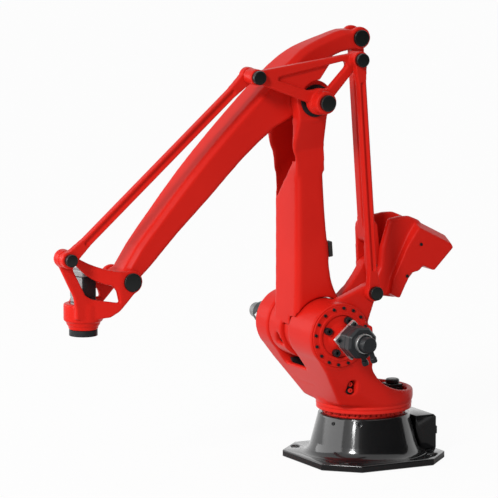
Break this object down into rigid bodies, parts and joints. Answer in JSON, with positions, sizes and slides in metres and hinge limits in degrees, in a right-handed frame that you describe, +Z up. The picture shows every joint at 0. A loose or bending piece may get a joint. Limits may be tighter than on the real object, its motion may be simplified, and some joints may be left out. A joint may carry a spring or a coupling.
{
  "type": "four-axis palletising robot arm",
  "caption": "Red four-axis palletising robot arm on a black cone base, with a crank and drive rod, tie rod, triangle and wrist rod that keep its tool flange level.",
  "frame": {"origin": "on the turning axis, at the underside of the base plate", "axes": "+X forward from the turning axis towards the tool, +Y to the robot's left, +Z up"},
  "size_m": [2.1959, 1.21, 2.1934],
  "materials": {
    "red_paint": "gloss",
    "black_casting": "satin black paint",
    "black_parts": "satin",
    "light_alloy": "bead blasted",
    "bare_steel": "ground",
    "motor_black": "satin",
    "rubber_buffer": "matt"
  },
  "bodies": {
    "base": {"base_casting": "black_casting", "connector_box": "black_casting", "connector_panel": "black_parts", "panel_connectors": "black_parts", "base_plug": "bare_steel", "slew_reducer": "bare_steel"},
    "turntable": {"column": "red_paint", "slew_ring": "red_paint", "slew_bolts": "black_parts", "slew_motor": "black_parts", "slew_motor_cap": "black_parts", "slot_screws": "black_parts", "main_spindle": "bare_steel", "crank_reducer": "red_paint", "crank_reducer_bolts": "black_parts", "crank_motor_adapter": "light_alloy", "crank_motor_studs": "light_alloy", "crank_motor": "motor_black", "crank_motor_plugs": "black_parts", "arm_reducer": "red_paint", "arm_reducer_bolts": "black_parts", "arm_motor_adapter": "light_alloy", "arm_motor_studs": "light_alloy", "arm_motor": "motor_black", "arm_motor_plugs": "black_parts", "horn_pin": "bare_steel", "horn_cap": "black_parts"},
    "lower_arm": {"lower_arm": "red_paint", "arm_buffer": "rubber_buffer", "elbow_shaft": "bare_steel", "elbow_ring_left": "black_parts", "elbow_ring_right": "black_parts"},
    "crank": {"crank": "red_paint", "counterweight": "red_paint", "counterweight_bolts": "black_parts"},
    "crank_pin": {"crank_pin": "bare_steel"},
    "drive_rod": {"drive_rod": "red_paint"},
    "tie_rod": {"tie_rod": "red_paint"},
    "triangle": {"triangle": "red_paint", "triangle_pins": "bare_steel", "triangle_caps": "black_parts"},
    "forearm": {"forearm": "red_paint", "tail_pin": "bare_steel", "tail_caps": "black_parts"},
    "wrist_rod": {"wrist_rod": "red_paint"},
    "wrist_head": {"wrist_head": "red_paint", "wrist_shaft": "bare_steel", "wrist_caps": "black_parts", "wrist_motor": "motor_black", "wrist_motor_cover": "light_alloy", "wrist_gear_case": "light_alloy", "link_pin": "bare_steel", "link_cap": "black_parts"},
    "tool_flange": {"tool_flange": "black_parts"}
  },
  "joints": [
    {"name": "turn", "type": "hinge", "parent": "base", "child": "turntable", "pos_m": [0, 0, 0.24], "axis": [0, 0, 1], "range_deg": [-175, 175]},
    {"name": "arm_swing", "type": "hinge", "parent": "turntable", "child": "lower_arm", "pos_m": [0.3, 0, 0.69], "axis": [0, 1, 0], "range_deg": [-10, 35]},
    {"name": "crank_swing", "type": "hinge", "parent": "turntable", "child": "crank", "pos_m": [0.3, 0, 0.69], "axis": [0, 1, 0], "range_deg": [-30, 10]},
    {"name": "crank_pin_turn", "type": "hinge", "parent": "crank", "child": "crank_pin", "pos_m": [-0.026, 0, 0.9704], "axis": [0, 1, 0], "range_deg": [-10, 30]},
    {"name": "drive_rod_swing", "type": "hinge", "parent": "crank_pin", "child": "drive_rod", "pos_m": [-0.026, 0, 0.9704], "axis": [0, 1, 0], "range_deg": [-10, 35]},
    {"name": "tie_rod_swing", "type": "hinge", "parent": "turntable", "child": "tie_rod", "pos_m": [0.1055, 0, 0.89142], "axis": [0, 1, 0], "range_deg": [-10, 35]},
    {"name": "triangle_level", "type": "hinge", "parent": "lower_arm", "child": "triangle", "pos_m": [0.38365, 0, 1.85701], "axis": [0, 1, 0], "range_deg": [-35, 10]},
    {"name": "forearm_swing", "type": "hinge", "parent": "triangle", "child": "forearm", "pos_m": [0.38365, 0, 1.85701], "axis": [0, 1, 0], "range_deg": [-30, 10]},
    {"name": "wrist_rod_swing", "type": "hinge", "parent": "triangle", "child": "wrist_rod", "pos_m": [0.73697, 0, 1.99689], "axis": [0, 1, 0], "range_deg": [-30, 10]},
    {"name": "wrist_level", "type": "hinge", "parent": "forearm", "child": "wrist_head", "pos_m": [1.36165, 0, 1.0158], "axis": [0, 1, 0], "range_deg": [-10, 30]},
    {"name": "tool_turn", "type": "hinge", "parent": "wrist_head", "child": "tool_flange", "pos_m": [1.56765, 0, 0.7538], "axis": [0, 0, 1], "range_deg": [-360, 360]}
  ],
  "couplings": [
    {"joint": "crank_pin_turn", "follows": "crank_swing", "ratio": -1},
    {"joint": "drive_rod_swing", "follows": "arm_swing", "ratio": 1},
    {"joint": "tie_rod_swing", "follows": "arm_swing", "ratio": 1},
    {"joint": "triangle_level", "follows": "arm_swing", "ratio": -1},
    {"joint": "forearm_swing", "follows": "crank_swing", "ratio": 1},
    {"joint": "wrist_rod_swing", "follows": "crank_swing", "ratio": 1},
    {"joint": "wrist_level", "follows": "crank_swing", "ratio": -1}
  ]
}
